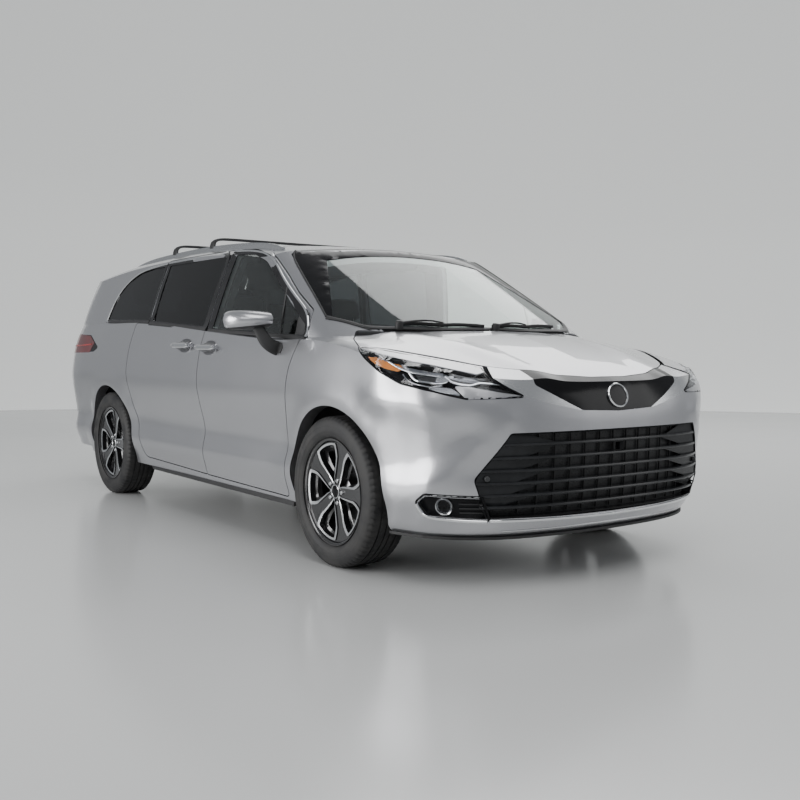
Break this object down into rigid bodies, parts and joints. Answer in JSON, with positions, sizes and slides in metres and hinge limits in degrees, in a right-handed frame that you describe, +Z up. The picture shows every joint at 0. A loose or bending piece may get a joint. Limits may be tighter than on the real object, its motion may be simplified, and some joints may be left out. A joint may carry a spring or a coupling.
{
  "type": "minivan",
  "caption": "Full-size minivan with hinged front doors, hood and tailgate, sliding side doors, steered front wheels, roof rails with crossbars and a hollow cabin with seats.",
  "frame": {"origin": "on the ground below the middle of the body", "axes": "+X to the front, +Y to the left side, +Z up"},
  "size_m": [5.1845, 2.4, 1.7849],
  "materials": {
    "paint": "metallic satin",
    "trim_black": "grained",
    "gloss_black": "polished",
    "chrome": "polished",
    "clear_glass": "clear",
    "dark_glass": "tinted",
    "lamp": "clear lens",
    "red_lamp": "clear lens",
    "rubber": "matt",
    "alloy": "machined and painted",
    "structure": "matt",
    "cast": "rough",
    "steel": "dull",
    "fabric": "woven",
    "cabin_plastic": "grained",
    "rail_silver": "satin"
  },
  "bodies": {
    "body": {"floor": "structure", "side_left": "paint", "side_right": "paint", "roof": "paint", "pillars": "structure", "front_structure": "structure", "fenders": "paint", "front_bumper": "paint", "rear_bumper": "paint", "lower_grille": "gloss_black", "upper_grille": "gloss_black", "headlamps": "lamp", "tail_lamps": "red_lamp", "windscreen": "clear_glass", "cowl": "trim_black", "sliding_door_left": "paint", "sliding_door_right": "paint", "rear_side_glass": "dark_glass", "wheel_liners": "trim_black", "dashboard": "cabin_plastic", "steering_column": "cabin_plastic", "front_seats": "fabric", "middle_seats": "fabric", "rear_bench": "fabric", "engine": "cast", "exhaust": "steel", "fuel_tank": "trim_black", "front_subframe": "structure", "rear_axle": "cast", "sill_trims": "trim_black", "roof_rails": "rail_silver", "nose_trims": "rail_silver", "fog_lamps": "gloss_black"},
    "hood": {"hood": "paint"},
    "tailgate": {"tailgate": "paint", "tailgate_glass": "dark_glass", "gate_lamps": "red_lamp"},
    "door_left": {"front_door_left": "paint", "door_glass_left": "clear_glass", "mirror_left": "rail_silver"},
    "door_right": {"front_door_right": "paint", "door_glass_right": "clear_glass", "mirror_right": "rail_silver"},
    "steering_wheel": {"steering_wheel": "cabin_plastic"},
    "knuckle_left": {"knuckle_left": "cast"},
    "knuckle_right": {"knuckle_right": "cast"},
    "wheel_front_left": {"tyre_front_left": "rubber", "rim_front_left": "alloy"},
    "wheel_front_right": {"tyre_front_right": "rubber", "rim_front_right": "alloy"},
    "wheel_rear_left": {"tyre_rear_left": "rubber", "rim_rear_left": "alloy"},
    "wheel_rear_right": {"tyre_rear_right": "rubber", "rim_rear_right": "alloy"}
  },
  "joints": [
    {"name": "hood_hinge", "type": "hinge", "parent": "body", "child": "hood", "pos_m": [1.48, 0, 1.12], "axis": [0, -1, 0], "range_deg": [0, 45]},
    {"name": "tailgate_hinge", "type": "hinge", "parent": "body", "child": "tailgate", "pos_m": [-2.162, 0, 1.677], "axis": [0, 1, 0], "range_deg": [0, 80]},
    {"name": "door_left_hinge", "type": "hinge", "parent": "body", "child": "door_left", "pos_m": [1.092, 0.962, 0.7], "axis": [0, 0, -1], "range_deg": [0, 62]},
    {"name": "door_right_hinge", "type": "hinge", "parent": "body", "child": "door_right", "pos_m": [1.092, -0.962, 0.7], "axis": [0, 0, 1], "range_deg": [0, 62]},
    {"name": "steer_left", "type": "hinge", "parent": "body", "child": "knuckle_left", "pos_m": [1.617, 0.74, 0.214], "axis": [0, -0.155, 0.9879], "range_deg": [-35, 35]},
    {"name": "steer_right", "type": "hinge", "parent": "body", "child": "knuckle_right", "pos_m": [1.617, -0.74, 0.214], "axis": [0, 0.155, 0.9879], "range_deg": [-35, 35]},
    {"name": "steering_wheel_turn", "type": "hinge", "parent": "body", "child": "steering_wheel", "pos_m": [0.6, 0.38, 0.985], "axis": [-0.9135, 0, 0.4067], "range_deg": [-500, 500]},
    {"name": "spin_front_left", "type": "hinge", "parent": "knuckle_left", "child": "wheel_front_left", "pos_m": [1.617, 0.862, 0.37], "axis": [0, 1, 0], "continuous": true},
    {"name": "spin_front_right", "type": "hinge", "parent": "knuckle_right", "child": "wheel_front_right", "pos_m": [1.617, -0.862, 0.37], "axis": [0, 1, 0], "continuous": true},
    {"name": "spin_rear_left", "type": "hinge", "parent": "body", "child": "wheel_rear_left", "pos_m": [-1.443, 0.862, 0.37], "axis": [0, 1, 0], "continuous": true},
    {"name": "spin_rear_right", "type": "hinge", "parent": "body", "child": "wheel_rear_right", "pos_m": [-1.443, -0.862, 0.37], "axis": [0, 1, 0], "continuous": true}
  ],
  "couplings": [
    {"joint": "steer_right", "follows": "steer_left", "ratio": 1},
    {"joint": "steering_wheel_turn", "follows": "steer_left", "ratio": 14}
  ]
}
